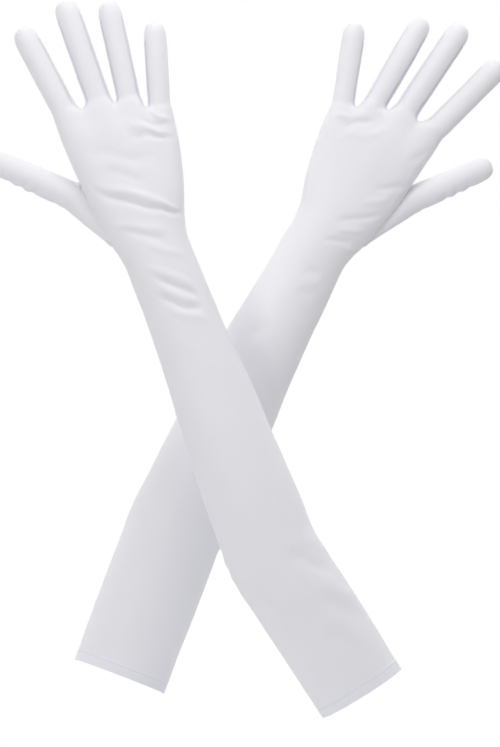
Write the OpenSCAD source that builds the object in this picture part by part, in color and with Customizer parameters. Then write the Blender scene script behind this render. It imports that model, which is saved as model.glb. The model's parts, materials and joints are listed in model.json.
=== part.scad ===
// A pair of opera gloves, worn, crossed at the forearms, with the backs of the hands facing -Y.
// Both gloves share one pattern. It is laid out here for the left hand, and mirrored for the right.
// The origin is the centre of the left glove's cuff opening. +Z is up the arm.

/* [Sleeve] */
// Distance from the cuff opening to the elbow
cuff_to_elbow = 115; // [108:1:125]
// Distance from the elbow to the wrist
elbow_to_wrist = 219; // [210:1:230]
// Outer radius of the cuff
cuff_r = 33.5; // [32:0.5:35]
// Thickness of one layer of cloth
cloth_t = 0.6; // [0.4:0.1:0.8]
// Height of the turned-up hem
hem_h = 8; // [6:1:18]
// Width of the overlocked seam allowance inside the sleeve
seam_w = 4; // [3:0.5:5]

/* [Hand] */
// Half the width of the wrist
wrist_w = 24.5; // [23:0.5:26]
// Half the thickness of the wrist
wrist_t = 19.5; // [18:0.5:21]
// Half the thickness of the hand at the knuckles
knuckle_t = 11; // [10:0.5:12]
// Half the width of a finger at its root
finger_w = 9; // [8.5:0.1:9.2]
// Length of the index, middle, ring and little fingers beyond the crotch
finger_len = [67.5, 75, 71, 61]; // [60:0.5:76]
// Distance up the hand to the roots of the four fingers
root_up = [115.5, 114.5, 107.5, 94.5]; // [90:0.5:120]
// Distance across the hand to the roots of the four fingers, thumb side positive
root_across = [23.5, 0, -20.5, -38]; // [-40:0.5:26]
// Length of the thumb beyond its opening
thumb_len = 88; // [84:0.5:90]
// Half the width of the thumb at its root
thumb_w = 11; // [10:0.5:12]

/* [Pose] */
// Lean of the left upper arm, forearm and hand from upright
left_lean = [21, 27, 33]; // [15:0.5:40]
// Lean of the right upper arm, forearm and hand from upright
right_lean = [32, 21, 21.5]; // [15:0.5:40]
// Spread of the left fingers from the hand's axis
left_spread = [12, 0.5, -3, -24.5]; // [-26:0.5:12]
// Spread of the right fingers from the hand's axis
right_spread = [6.5, -2, -9, -18]; // [-26:0.5:12]
// Angle of the left and right thumbs from the hand's axis
thumb_angle = [33.5, 44.5]; // [28:0.5:46]
// Place of the right glove's cuff centre
right_cuff = [170.5, -72, -7.5]; // [-80:0.5:180]

/* [Joints] */
// Furthest bend of the elbow
elbow_max = 100; // [60:1:100]
// Furthest bend of the wrist each way
wrist_max = 50; // [30:1:50]
// Furthest bend of each finger joint
finger_max = 60; // [30:1:60]
// Furthest bend of each thumb joint
thumb_max = 45; // [20:1:45]
// Distance from a finger's root to its first joint
finger_pivot = 10; // [9:0.5:11]
// Distance from a finger's root to its second joint
finger_bend = 30; // [29:0.5:31]
// Distances from the thumb's root to its two joints
thumb_pivot = [30, 56]; // [28:0.5:58]

/* [Hidden] */
SIDES = ["left", "right"];
FINGERS = ["index", "middle", "ring", "little"];
PIECES = concat(
    ["hem_band", "hem_stitching", "upper_sleeve", "upper_side_seam", "elbow_sleeve"],
    ["forearm_sleeve", "forearm_side_seam", "wrist_sleeve", "hand", "web_gussets"],
    ["thumb_base", "thumb_seam", "thumb_lower", "thumb_tip"],
    [for (f = FINGERS) each [str(f, "_lower"), str(f, "_lower_gusset"), str(f, "_tip"), str(f, "_tip_gusset")]]
);

LEAN = [left_lean, right_lean];
SPREAD = [left_spread, right_spread];
satin = [0.93, 0.93, 0.96];
thread = [0.88, 0.88, 0.92];
joint_gap = 0.4;
elbow_gap = 7;
wrist_gap = 3;
arm_len = cuff_to_elbow + elbow_to_wrist;
// Half width and half thickness of the sleeve against the distance from the cuff
sleeve_w = [
    [0, cuff_r], [60, 34], [cuff_to_elbow, 33.8], [150, 33], [190, 31.3], [230, 28.8],
    [275, 26], [310, 24.8], [arm_len, wrist_w]
];
sleeve_t = [
    [0, cuff_r], [60, 33.5], [cuff_to_elbow, 33], [150, 32], [190, 30], [230, 27],
    [275, 23.5], [310, 20.8], [arm_len, wrist_t]
];
around = 36;
half_around = around / 2;
finger_around = 12;
// Rings of the hand, as fractions of the way from the wrist to the knuckles
palm_rows = [0, 0.14, 0.27, 0.4, 0.54, 0.77, 1];
thumb_rows = [1, 4];
thumb_column = 33;
thumb_root = [44, 26, 9];
web_t = 5.5;
web_drop = 2;
palm_bulge = 2;
dome_steps = 3;
// Distances from the cuff at which the sleeve changes shape between its joints
upper_row = 45;
forearm_rows = [190, 230, 275];
// Fullness of the knuckle line, as a share of a finger's, beside and at the outer edges of the hand
knuckle_edge = 0.55;
knuckle_side = 0.87;
knuckle_tuck = 2;
// Distance across the hand over which the lining keeps clear of the sides
knuckle_span = 35;
// Loss of width from root to end, and the width of the rounded end, as shares of the width at the root
finger_taper = 0.06;
thumb_taper = 0.2;
finger_end_w = 0.94;
thumb_end_w = 0.82;
little_w = 0.93;
digit_t = 0.95;
straight_end = 20;
// Seam allowances, stitches and the round edges of the hem
seam_clear = 0.25;
seam_t = 0.9;
seam_end = 2;
stitch_r = 0.25;
stitch_down = 1.6;
hem_facets = 96;
stitch_facets = 16;
thumb_stitch = 0.25;
thumb_stitch_lift = 1.1;
// The thumb's seam runs this share of a column and this share of the hand's length outside the opening
thumb_seam_aside = 0.3;
thumb_seam_above = 0.045;

// ---- directions and places ----
function along(lean) = [sin(lean), 0, cos(lean)];
function across(lean) = [cos(lean), 0, -sin(lean)];
function elbow(h) = along(LEAN[h][0]) * cuff_to_elbow;
function wrist(h) = elbow(h) + along(LEAN[h][1]) * elbow_to_wrist;
function hand_point(h, p) = wrist(h) + along(LEAN[h][2]) * p[0] + across(LEAN[h][2]) * p[1] + [0, p[2], 0];
function arm_point(h, s) = s <= cuff_to_elbow
    ? along(LEAN[h][0]) * s
    : elbow(h) + along(LEAN[h][1]) * (s - cuff_to_elbow);
function finger_lean(h, k) = LEAN[h][2] + SPREAD[h][k];
function finger_root(h, k) = hand_point(h, [root_up[k], root_across[k], 0]);
function thumb_lean(h) = LEAN[h][2] + thumb_angle[h];
function thumb_start(h) = hand_point(h, thumb_root);

// ---- rings of points ----
// Angles run from the thumb side over the back of the hand to the far side, then over the palm.
function even_angles(n) = [for (i = [0:n - 1]) -360 * i / n];
function ring(centre, lean, w, t, angles, shift) = [
    for (i = [0:len(angles) - 1])
        centre + across(lean) * w * cos(angles[i]) + [0, t * sin(angles[i]), 0] + along(lean) * shift[i]
];
function no_shift(n) = [for (i = [0:n - 1]) 0];
function arm_ring(h, s, lean, shift, inset) =
    let (w = lookup(s, sleeve_w) - inset, t = lookup(s, sleeve_t) - inset)
    ring(arm_point(h, s), lean, w, t, even_angles(around), shift);
function plain_arm_ring(h, s, inset) =
    arm_ring(h, s, LEAN[h][s <= cuff_to_elbow ? 0 : 1], no_shift(around), inset);
// The ends at a joint are cut back on the side that closes, so that nothing meets at full bend.
function elbow_cut() = [
    for (a = even_angles(around))
        elbow_gap + max(0, cos(a)) * lookup(cuff_to_elbow, sleeve_w) * tan(elbow_max / 2)
];
function wrist_cut() = [
    for (a = even_angles(around)) wrist_gap + abs(sin(a)) * wrist_t * tan(wrist_max / 2)
];
function upper_end(h, inset) = arm_ring(h, cuff_to_elbow, LEAN[h][0], -elbow_cut(), inset);
function elbow_middle(h, inset) =
    arm_ring(h, cuff_to_elbow, (LEAN[h][0] + LEAN[h][1]) / 2, no_shift(around), inset);
function forearm_start(h, inset) = arm_ring(h, cuff_to_elbow, LEAN[h][1], elbow_cut(), inset);
function forearm_end(h, inset) = arm_ring(h, arm_len, LEAN[h][1], -wrist_cut(), inset);

// Knuckle line: station 0 is the thumb side and 18 the far side.
// Every fourth station from 5 to 13 lies between two fingers.
function between(v, k) = (v[k - 1] + v[k]) / 2;
function knuckle_flat(m) =
    let (k = floor((m - 1) / 4), r = (m - 1) % 4)
    m == 0 ? [root_up[0] - knuckle_tuck, root_across[0] + finger_w + 1, 0] :
    m == 1 ? [root_up[0], root_across[0] + finger_w * knuckle_side, knuckle_edge] :
    m == half_around - 1 ? [root_up[3], root_across[3] - finger_w * knuckle_side, knuckle_edge] :
    m == half_around ? [root_up[3] - knuckle_tuck, root_across[3] - finger_w, 0] :
    r == 0 ? [between(root_up, k) - web_drop, between(root_across, k), web_t / knuckle_t] :
    [root_up[k], root_across[k] + finger_w * (1 - r / 2), r == 2 ? 1 : knuckle_side];
function knuckle(i, inset) =
    let (m = i <= half_around ? i : around - i, p = knuckle_flat(m), side = i <= half_around ? -1 : 1)
    [p[0], p[1] * (1 - inset / knuckle_span), side * p[2] * (knuckle_t - inset)];
function palm_point(i, f, inset) =
    let (
        a = -360 * i / around,
        k = knuckle(i, inset),
        e = [0, (wrist_w - inset) * cos(a), (wrist_t - inset) * sin(a)]
    )
    e + (k - e) * f + [0, cos(a) * palm_bulge * sin(180 * f), 0];
function palm_ring(h, f, inset) = [
    for (i = [0:around - 1])
        hand_point(h, palm_point(i, f > 0 ? f : wrist_cut()[i] / root_up[1], inset))
];
function web_point(h, k, inset) =
    hand_point(h, [between(root_up, k + 1) + 1 - web_drop - inset, between(root_across, k + 1), 0]);

// ---- fingers ----
// The side strips of a finger narrow towards its tip.
function finger_angles(f) =
    let (g = 36 - 22 * f, e = (90 + g) / 2)
    [0, -g, -e, -90, e - 180, g - 180, -180, -180 - g, -180 - e, -270, e - 360, g - 360];
function palm_side(angles, t, bend) = [for (a = angles) max(0, sin(a)) * t * tan(bend / 2)];
function tube_ring(start, lean, s, w, t, len, bend, turn, inset) =
    let (a = finger_angles(s / len))
    ring(start + along(lean) * s, lean, w - inset, t - inset, a, turn * palm_side(a, t, bend));
function taper(s, len) = 1 - finger_taper * s / len;
function finger_ring(h, k, s, turn, inset) =
    let (w = finger_w * taper(s, finger_len[k]) * (k == 3 ? little_w : 1))
    tube_ring(finger_root(h, k), finger_lean(h, k), s, w, w * digit_t, finger_len[k], finger_max, turn, inset);
function thumb_ring(h, s, turn, inset) =
    let (w = thumb_w * (1 - thumb_taper * s / thumb_len))
    tube_ring(thumb_start(h), thumb_lean(h), s, w, w * digit_t, thumb_len, thumb_max, turn, inset);
function dome_ring(start, lean, w, len, step, inset) =
    let (a = 90 * step / (dome_steps + 1), r = w - inset, centre = start + along(lean) * (len - w + r * sin(a)))
    ring(centre, lean, r * cos(a), r * digit_t * cos(a), finger_angles(1), no_shift(finger_around));
function tip_rings(start, lean, w, len, first, inset) = concat(
    first,
    [for (n = [0:dome_steps]) dome_ring(start, lean, w, len, n, inset)],
    [[start + along(lean) * (len - inset)]]
);

// ---- shells of cloth ----
// Each patch gets an outer and an inner face, and every free edge gets a wall between them.
// Faces are cut into triangles here, so that the bend of a patch that isn't flat is settled, and
// a wall is cut the same way in the two pieces that share it.
edge_key = 10000;
function halves(p) = len(p) == 3 ? [p] : [[p[0], p[1], p[2]], [p[0], p[2], p[3]]];
module cloth(outer, inner, patches) {
    n = len(outer);
    edges = [for (p = patches) for (c = [0:len(p) - 1]) p[c] * edge_key + p[(c + 1) % len(p)]];
    rims = [
        for (e = edges)
            let (a = floor(e / edge_key), b = e % edge_key)
            if (len(search(b * edge_key + a, edges)) == 0)
                each a < b ? halves([b, a, a + n, b + n]) : halves([a, a + n, b + n, b])
    ];
    faces = [for (p = patches) each halves(p)];
    linings = [for (f = faces) [f[2] + n, f[1] + n, f[0] + n]];
    polyhedron(concat(outer, inner), concat(faces, linings, rims));
}
function flat(rings) = [for (r = rings) each r];
function sum(v) = v * [for (x = v) 1];
function patch(j, i, n) = [j * n + i, j * n + (i + 1) % n, (j + 1) * n + (i + 1) % n, (j + 1) * n + i];
function tube_patches(count, n) = [for (j = [0:count - 2]) for (i = [0:n - 1]) patch(j, i, n)];
module sleeve(outer, inner) {
    cloth(flat(outer), flat(inner), tube_patches(len(outer), len(outer[0])));
}
// Columns of a finger that are side strips: both sides, except the outer sides of the index and little fingers
function is_strip(k, i) = (k > 0 && (i == 11 || i == 0)) || (k < 3 && (i == 5 || i == 6));
module finger_part(k, outer, inner, strips) {
    n = finger_around;
    patches = [
        for (j = [0:len(outer) - 2])
            for (i = [0:n - 1])
                if (is_strip(k, i) == strips) patch(j, i, n)
    ];
    cloth(flat(outer), flat(inner), patches);
}
module finger_tip(k, outer, inner, strips, strip_rows) {
    n = finger_around;
    top = len(outer) - 1;
    patches = [
        for (j = [0:top - 2])
            for (i = [0:n - 1])
                if ((is_strip(k, i) && j < strip_rows) == strips) patch(j, i, n)
    ];
    point = [for (i = [0:n - 1]) [(top - 1) * n + i, (top - 1) * n + (i + 1) % n, top * n]];
    cloth(flat(outer), flat(inner), strips ? patches : concat(patches, point));
}

// ---- sleeve pieces ----
module hem_band(h) {
    color(satin) rotate([0, LEAN[h][0], 0]) difference() {
        cylinder(h = hem_h, r = cuff_r, $fn = hem_facets);
        translate([0, 0, -1]) cylinder(h = hem_h + 2, r = cuff_r - 2 * cloth_t, $fn = hem_facets);
    }
}
module hem_stitching(h) {
    color(thread) rotate([0, LEAN[h][0], 0])
        translate([0, 0, hem_h - stitch_down]) rotate_extrude($fn = hem_facets)
            translate([cuff_r + stitch_r, 0]) circle(stitch_r, $fn = stitch_facets);
}
module upper_sleeve(h) {
    rows = function (inset) [
        plain_arm_ring(h, hem_h, inset),
        plain_arm_ring(h, upper_row, inset),
        upper_end(h, inset)
    ];
    color(satin) sleeve(rows(0), rows(cloth_t));
}
module elbow_sleeve(h) {
    rows = function (inset) [upper_end(h, inset), elbow_middle(h, inset), forearm_start(h, inset)];
    color(satin) sleeve(rows(0), rows(cloth_t));
}
module forearm_sleeve(h) {
    rows = function (inset) [
        forearm_start(h, inset),
        for (s = forearm_rows) plain_arm_ring(h, s, inset),
        forearm_end(h, inset)
    ];
    color(satin) sleeve(rows(0), rows(cloth_t));
}
module wrist_sleeve(h) {
    middle = function (inset) arm_ring(h, arm_len, (LEAN[h][1] + LEAN[h][2]) / 2, no_shift(around), inset);
    rows = function (inset) [forearm_end(h, inset), middle(inset), palm_ring(h, 0, inset)];
    color(satin) sleeve(rows(0), rows(cloth_t));
}
// The seam allowance lies against the inside of the sleeve, on the little finger's side.
module side_seam(h, stops) {
    sections = [
        for (s = stops)
            let (lean = LEAN[h][s <= cuff_to_elbow ? 0 : 1], r = lookup(s, sleeve_w) - cloth_t - seam_clear)
            [for (c = [[r, -1], [r, 1], [r - seam_t, 1], [r - seam_t, -1]])
                arm_point(h, s) - across(lean) * c[0] + [0, c[1] * seam_w / 2, 0]]
    ];
    n = len(stops);
    caps = [[3, 2, 1, 0], [for (c = [0:3]) (n - 1) * 4 + c]];
    color(thread) polyhedron(flat(sections), [for (p = concat(tube_patches(n, 4), caps)) each halves(p)]);
}

// ---- hand pieces ----
palm_count = len(palm_rows) * around;
function finger_point(k, m) = palm_count + k * finger_around + m;
function web_index(k) = palm_count + 4 * finger_around + k;
function knuckle_index(i) = (len(palm_rows) - 1) * around + i;
function root_loop(k, m) =
    m == 0 ? (k == 0 ? knuckle_index(0) : web_index(k - 1)) :
    m == 6 ? (k == 3 ? knuckle_index(half_around) : web_index(k)) :
    m < 6 ? knuckle_index(4 * k + m) : knuckle_index(around - 4 * k - finger_around + m);
function hand_points(h, inset) = concat(
    flat([for (f = palm_rows) palm_ring(h, f, inset)]),
    flat([for (k = [0:3]) finger_ring(h, k, finger_pivot - joint_gap, -1, inset)]),
    [for (k = [0:2]) web_point(h, k, inset)]
);
function is_thumb_hole(j, i) = j >= thumb_rows[0] && j < thumb_rows[1] && i >= thumb_column;
function stub_patch(k, m) = [
    root_loop(k, m), root_loop(k, (m + 1) % finger_around),
    finger_point(k, (m + 1) % finger_around), finger_point(k, m)
];
module hand(h) {
    palm = [
        for (j = [0:len(palm_rows) - 2])
            for (i = [0:around - 1])
                if (!is_thumb_hole(j, i)) patch(j, i, around)
    ];
    stubs = [for (k = [0:3]) for (m = [0:finger_around - 1]) if (!is_strip(k, m)) stub_patch(k, m)];
    color(satin) cloth(hand_points(h, 0), hand_points(h, cloth_t), concat(palm, stubs));
}
module web_gussets(h) {
    strips = [for (k = [0:3]) for (m = [0:finger_around - 1]) if (is_strip(k, m)) stub_patch(k, m)];
    color(thread) cloth(hand_points(h, 0), hand_points(h, cloth_t), strips);
}

// ---- thumb pieces ----
function thumb_opening(h, inset) =
    let (rings = [for (j = [thumb_rows[0]:thumb_rows[1]]) palm_ring(h, palm_rows[j], inset)], c = thumb_column)
    [
        rings[0][c + 2], rings[0][0], rings[1][0], rings[2][0], rings[3][0], rings[3][c + 2],
        rings[3][c + 1], rings[3][c], rings[2][c], rings[1][c], rings[0][c], rings[0][c + 1]
    ];
module thumb_base(h) {
    rows = function (inset) [thumb_opening(h, inset), thumb_ring(h, thumb_pivot[0] - joint_gap, -1, inset)];
    color(satin) sleeve(rows(0), rows(cloth_t));
}
// Places just outside the opening: the row of the opening, a column, and the column next to it.
seam_left = thumb_column;
seam_stops = [
    [0, seam_left + 2, seam_left + 2], [0, 0, 1], [1, 0, 1], [2, 0, 1], [3, 0, 1],
    [3, seam_left + 2, seam_left + 2], [3, seam_left + 1, seam_left + 1],
    [3, seam_left, seam_left - 1], [2, seam_left, seam_left - 1], [1, seam_left, seam_left - 1],
    [0, seam_left, seam_left - 1], [0, seam_left + 1, seam_left + 1]
];
function seam_point(h, stop) =
    let (
        f = palm_rows[thumb_rows[0] + stop[0]] + thumb_seam_above * [-1, 0, 0, 1][stop[0]],
        p = palm_point(stop[1], f, -thumb_stitch_lift),
        q = palm_point(stop[2], f, -thumb_stitch_lift)
    )
    hand_point(h, p + (q - p) * thumb_seam_aside);
module thumb_seam(h) {
    path = [for (stop = seam_stops) seam_point(h, stop)];
    n = len(path);
    middle = [for (axis = [0:2]) sum([for (p = path) p[axis]]) / n];
    sections = [
        for (p = path)
            let (out = [p[0] - middle[0], 0, p[2] - middle[2]], r = out / norm(out))
            [for (c = [[1, 1], [1, -1], [-1, -1], [-1, 1]]) p + (r * c[0] + [0, c[1], 0]) * thumb_stitch]
    ];
    wall = [
        for (j = [0:n - 1])
            for (i = [0:3])
                let (next = (j + 1) % n)
                each halves([j * 4 + i, j * 4 + (i + 1) % 4, next * 4 + (i + 1) % 4, next * 4 + i])
    ];
    color(thread) polyhedron(flat(sections), wall);
}
module thumb_lower(h) {
    rows = function (inset) [
        thumb_ring(h, thumb_pivot[0] + joint_gap, 1, inset),
        thumb_ring(h, (thumb_pivot[0] + thumb_pivot[1]) / 2, 0, inset),
        thumb_ring(h, thumb_pivot[1] - joint_gap, -1, inset)
    ];
    color(satin) sleeve(rows(0), rows(cloth_t));
}
module thumb_tip(h) {
    w = thumb_w * thumb_end_w;
    rows = function (inset) tip_rings(
        thumb_start(h), thumb_lean(h), w, thumb_len, [thumb_ring(h, thumb_pivot[1] + joint_gap, 1, inset)], inset
    );
    color(satin) finger_tip(1, rows(0), rows(cloth_t), false, 0);
}

// ---- finger pieces ----
module finger_lower(h, k, strips) {
    rows = function (inset) [
        finger_ring(h, k, finger_pivot + joint_gap, 1, inset),
        finger_ring(h, k, finger_bend - joint_gap, -1, inset)
    ];
    color(strips ? thread : satin) finger_part(k, rows(0), rows(cloth_t), strips);
}
module finger_end(h, k, strips) {
    w = finger_w * finger_end_w * (k == 3 ? little_w : 1);
    rows = function (inset) tip_rings(
        finger_root(h, k), finger_lean(h, k), w, finger_len[k],
        [
            finger_ring(h, k, finger_bend + joint_gap, 1, inset),
            finger_ring(h, k, finger_len[k] - straight_end, 0, inset)
        ],
        inset
    );
    color(strips ? thread : satin) finger_tip(k, rows(0), rows(cloth_t), strips, 2);
}

// ---- the pair ----
module place(h) {
    if (h == 0) children();
    else translate(right_cuff) mirror([1, 0, 0]) children();
}
module piece(h, name) {
    if (name == "hem_band") hem_band(h);
    if (name == "hem_stitching") hem_stitching(h);
    if (name == "upper_sleeve") upper_sleeve(h);
    if (name == "upper_side_seam")
        side_seam(h, [hem_h + seam_end, upper_row, cuff_to_elbow - elbow_gap - seam_end]);
    if (name == "elbow_sleeve") elbow_sleeve(h);
    if (name == "forearm_sleeve") forearm_sleeve(h);
    if (name == "forearm_side_seam")
        side_seam(h, concat(
            [cuff_to_elbow + elbow_gap + seam_end], forearm_rows, [arm_len - wrist_gap - seam_end]
        ));
    if (name == "wrist_sleeve") wrist_sleeve(h);
    if (name == "hand") hand(h);
    if (name == "web_gussets") web_gussets(h);
    if (name == "thumb_base") thumb_base(h);
    if (name == "thumb_seam") thumb_seam(h);
    if (name == "thumb_lower") thumb_lower(h);
    if (name == "thumb_tip") thumb_tip(h);
    for (k = [0:3]) {
        if (name == str(FINGERS[k], "_lower")) finger_lower(h, k, false);
        if (name == str(FINGERS[k], "_lower_gusset")) finger_lower(h, k, true);
        if (name == str(FINGERS[k], "_tip")) finger_end(h, k, false);
        if (name == str(FINGERS[k], "_tip_gusset")) finger_end(h, k, true);
    }
}
for (h = [0, 1])
    for (p = PIECES)
        place(h) piece(h, p);
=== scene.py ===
"""A pair of white satin opera gloves, as worn, crossed at the forearms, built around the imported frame."""

import json
import math

import bpy
import numpy as np
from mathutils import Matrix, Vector, noise


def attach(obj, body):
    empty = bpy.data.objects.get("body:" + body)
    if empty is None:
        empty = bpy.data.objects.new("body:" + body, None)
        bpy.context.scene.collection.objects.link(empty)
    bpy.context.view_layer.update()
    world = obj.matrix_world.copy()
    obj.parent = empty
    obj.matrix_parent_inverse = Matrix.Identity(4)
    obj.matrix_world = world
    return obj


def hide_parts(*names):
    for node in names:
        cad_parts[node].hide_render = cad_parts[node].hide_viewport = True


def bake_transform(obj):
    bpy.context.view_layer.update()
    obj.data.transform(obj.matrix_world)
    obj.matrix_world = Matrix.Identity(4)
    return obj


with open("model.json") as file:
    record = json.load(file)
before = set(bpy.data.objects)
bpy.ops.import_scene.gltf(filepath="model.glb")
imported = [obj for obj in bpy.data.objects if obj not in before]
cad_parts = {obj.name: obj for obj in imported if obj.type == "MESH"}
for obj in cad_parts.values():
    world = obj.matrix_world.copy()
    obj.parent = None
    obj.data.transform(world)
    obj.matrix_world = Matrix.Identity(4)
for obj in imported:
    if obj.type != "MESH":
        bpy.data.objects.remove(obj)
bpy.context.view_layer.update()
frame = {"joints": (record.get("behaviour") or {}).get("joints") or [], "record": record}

# ------------------------------------------------------------------ sizes, in millimetres

MM = 0.001
FINGERS = ("index", "middle", "ring", "little")
PALM_WAY = np.array([0.0, 1.0, 0.0])

AROUND = 36             # columns of the sleeve and the palm
HALF = AROUND // 2
FINGER_AROUND = 12      # columns of a finger or thumb
COLUMN = 5.6            # width of a column of the pattern, for the cloth's grain
CLOTH = 0.5             # thickness of the knit
HEM_CLOTH = 1.15        # and of the turned-up hem
HEM_HEIGHT = 8.0
HEM_STITCH = 6.4

# Half width and half thickness of the sleeve at distances from the cuff
SLEEVE_S = [0, 30, 60, 115, 150, 190, 230, 275, 310, 334]
SLEEVE_W = [33.3, 33.6, 34.0, 33.8, 33.0, 31.3, 28.8, 26.0, 24.8, 24.5]
SLEEVE_T = [33.3, 33.3, 33.2, 33.0, 32.0, 30.0, 27.0, 23.5, 20.8, 19.5]
SLEEVE_ROWS = [
    0, 1.0, 3.6, 6.4, 8, 12, 19, 28, 38, 48, 58, 67, 75, 83, 91, 99, 107, 115, 123, 131, 139, 148, 157,
    166, 176, 187, 198, 209, 220, 231, 242, 253, 263, 273, 283, 292, 301, 310, 318, 326, 334,
]
HAND_FROM = 292         # the sleeve's piece ends here and the hand's begins

ROOT_UP = (115.5, 114.5, 107.5, 94.5)
ROOT_ACROSS = (23.5, 0.0, -20.5, -38.0)
FINGER_LEN = (67.5, 75.0, 71.0, 61.0)
FINGER_W = (9.1, 9.1, 9.1, 8.5)
FINGER_TAPER = 0.93     # width of a fingertip as a share of its root's
FINGER_T = 0.95         # a finger's thickness as a share of its width
FINGER_ROWS = [3, 6.5, 10, 13.5, 17, 20, 23, 26.5, 30, 33.5, 37, 42]
FINGER_BEND = ((3, 17), (23, 37))       # where the cloth turns at a finger's two joints
FINGER_SPLIT = 20
THUMB_LEN = 88.0
THUMB_W = 11.0
THUMB_TIP = 0.76        # width of a thumb's tip as a share of its root's
THUMB_PIVOT = 30.0      # from a thumb's root to its first joint
THUMB_ROWS = [23.5, 26.7, 30, 33.3, 36.5, 40, 43, 46.2, 49.5, 52.7, 56, 59.2, 62.5, 67]
THUMB_BEND = ((23.5, 36.5), (49.5, 62.5))
THUMB_SPLIT = 43
FINGER_PIVOT = 10.0     # from a finger's root to its first joint
ELBOW_BEND = 46         # the cloth turns over this distance either side of the elbow
WRIST_BEND = 17
ELBOW_TURN = 60         # the sleeve's centre line turns over this length at the elbow
WRIST_TURN = 48
PALM_ROWS = [0.05, 0.09, 0.14, 0.2, 0.27, 0.335, 0.4, 0.47, 0.54, 0.62, 0.7, 0.78, 0.86, 0.93, 1.0]
THUMB_HOLE = (2, 4, 6, 8)       # the rows of the palm that bound the thumb's opening and cross it
THUMB_COLUMN = 33       # and the column that it starts from
KNUCKLE_T = 11.0        # half the hand's thickness at the knuckles
KNUCKLE_SLIM = 0.87     # the hand's thickness at the roots of the fingers, as a share of that below them
BACK_EVEN = 0.72        # the share of the dips between the knuckles that the cloth bridges on the back
EDGE_EVEN = (0, 0.55, 0.83, 0.95, 1.0)  # the hand's thickness 0 to 4 columns from its sides
EDGE_OUT = (1.0, 0.6)   # how far the hand's sides stand out past the first finger and the last
EDGE_DROP = 2           # and how far below those fingers' roots they end
SHOULDER_W, SHOULDER_T = 0.87, 0.55     # place and thickness of the column beside each side
FLANK_T = 0.88          # thickness beside the middle of a finger's root
DIP_FROM, DIP_SPAN = 0.8, 0.2   # the dips between the knuckles begin here, as shares of the hand
PALM_FLARE = 1.1        # the hand widens from wrist to knuckles with this power
WEB_T = 5.3             # half the thickness of a web between two fingers
WEB_DROP = 2.0          # and how far below their roots it lies
WEB_RISE = 1            # the middle of a web stands this much above its edges
SWELL = 1.047           # smoothing draws a twelve-sided ring in by this much
SLEEVE_SWELL = 1.005    # and a 36-sided one by this
THUMB_COLUMNS = 60      # the thumb's columns are numbered from here, apart from the palm's
THUMB_START = (THUMB_COLUMNS * COLUMN, 394)     # its root on the flat pattern
PALM_BULGE = (3.4, 2.3)         # how far the hand's sides stand out, on the thumb's side and the far side
BULGE_RISE = (1, 1.3)   # the powers that set how far up the hand they do
HEEL_DIP = {"left": 3.4, "right": 1.9}  # and the dip below that on the far side
HEEL_AT, HEEL_SPAN = 0.2, 0.17  # its place and half length, as shares of the hand
# How much fuller each sleeve is than the pattern, and how far it stands off the arm's line towards the thumb,
# against the distance from its cuff
FULLNESS = {
    "left": ((0, 90, 200, 260, 300, 334), (1.015, 1.01, 1.04, 1.05, 1.01, 0.99)),
    "right": ((0, 120, 150, 220, 300, 334), (0.965, 0.97, 0.97, 0.975, 0.96, 0.98)),
}
DRIFT = {
    "left": ((0, 110, 170, 235, 290, 334), (1.6, 1.2, 0, -2.0, -0.8, 0)),
    "right": ((0, 60, 110, 160, 230, 300, 334), (-1.2, -0.6, 0, 0.4, -0.4, -0.6, 0)),
}
# How much higher the hem lies on the back of the arm than at its sides, and where that ends
HEM_TILT = {"left": 3.4, "right": 0.0}
HEM_TILT_END = 60
# Each finger's width as a share of the pattern's, and how far it stands off its own line towards the thumb
FINGER_FIT = {
    "left": ((0.98, 1.3), (0.965, 0.8), (0.93, 0.0), (0.95, -0.4)),
    "right": ((0.985, -0.2), (0.98, -0.9), (0.925, 0.0), (0.955, 0.3)),
}
THUMB_FIT = (0.95, -2.2)        # the same for both thumbs
THUMB_WEB = 4.2         # how far the web between thumb and palm stands up
THUMB_JOIN = (0.36, 0.68)       # two rings' shares of the way from the palm to the thumb
THUMB_ROOT_W = 0.95     # width of the thumb's first ring, as a share
ON_LINE = 0.01          # a point this near a line of the flat pattern lies on it

JOINTS = {j["name"]: j for j in frame["joints"]}
MOUNTS = {m["name"]: m for m in frame["record"]["mounts"]}


def unit(v):
    return np.asarray(v, float) / np.linalg.norm(v)


def smooth(x):
    t = np.clip(x, 0, 1)
    return t * t * (3 - 2 * t)


def joint_place(name):
    return np.array(JOINTS[name]["pos_m"]) / MM


def joint_way(name):
    """The direction of a finger or hand, from the axis that it flexes about."""
    return unit(np.cross(PALM_WAY, JOINTS[name]["axis"]))


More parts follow.
